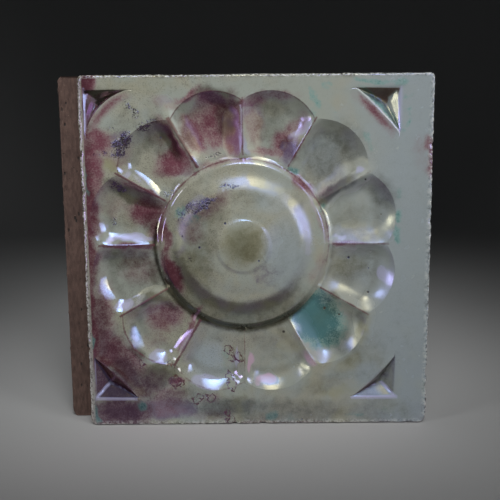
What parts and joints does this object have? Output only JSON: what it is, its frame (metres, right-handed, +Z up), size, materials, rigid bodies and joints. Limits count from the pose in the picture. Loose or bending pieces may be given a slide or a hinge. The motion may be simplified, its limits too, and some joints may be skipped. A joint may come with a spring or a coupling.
{
  "type": "stoneware tile",
  "caption": "Square glazed stoneware relief tile with a scooped petal rosette round a stepped boss, cut corners, and a lap joint: a ledge at one side and a rebate at the other.",
  "frame": {"origin": "middle of the bounding box, on the underside that the tile stands on", "axes": "+X to the right as the face is seen, -Y out of the face, +Z up"},
  "size_m": [0.209, 0.0416, 0.2],
  "materials": {
    "stoneware": "glossy grey-green glaze with wine-red and turquoise patches on the front slab, bare brown clay behind"
  },
  "bodies": {
    "root": {"tile": "stoneware"}
  },
  "joints": []
}
